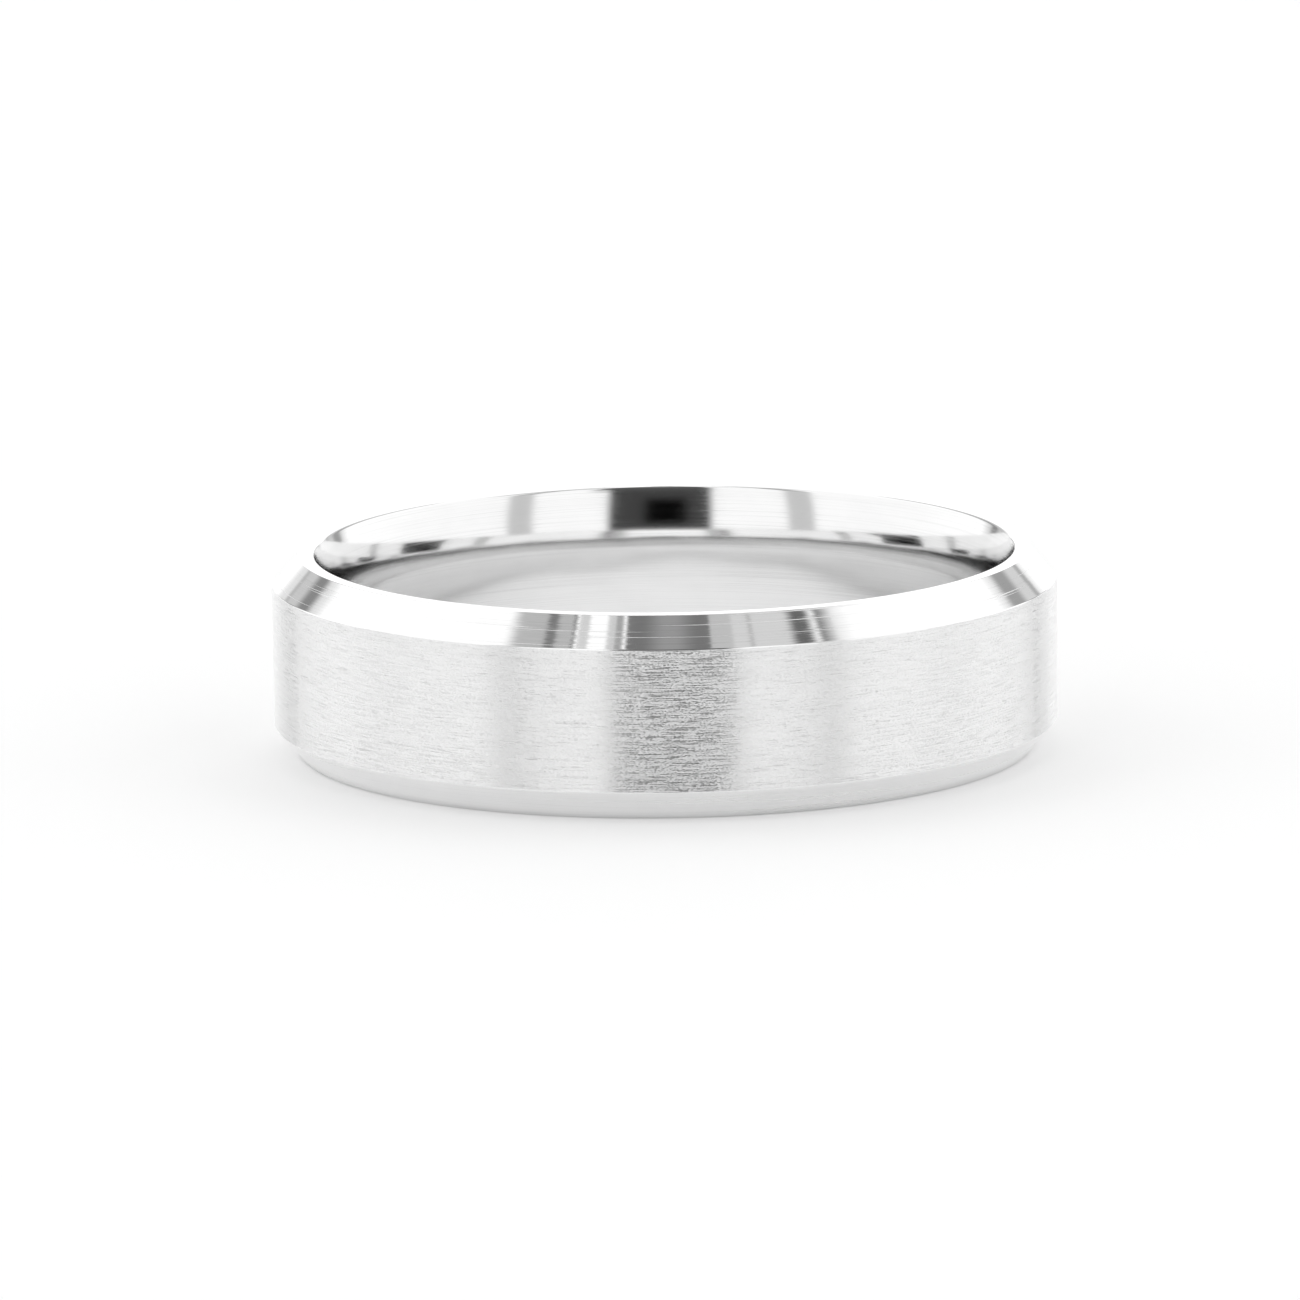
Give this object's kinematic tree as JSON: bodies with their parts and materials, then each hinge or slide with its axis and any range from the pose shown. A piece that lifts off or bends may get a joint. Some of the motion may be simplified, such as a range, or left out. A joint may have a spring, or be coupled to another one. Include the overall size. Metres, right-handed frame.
{
  "type": "wedding band",
  "caption": "Flat white-metal finger ring with a satin centre, two polished bevels and a comfort-fit bore.",
  "frame": {"origin": "centre of the bore, half way between the two rims", "axes": "+Z along the finger axis, towards the rim that is uppermost when the band lies flat; the band is round about Z and the same both ways up"},
  "size_m": [0.0234, 0.0234, 0.006],
  "materials": {
    "white_gold": "satin brushed around the outside wall, mirror polished on the bevels, rims and bore"
  },
  "bodies": {
    "root": {"band": "white_gold"}
  },
  "joints": []
}
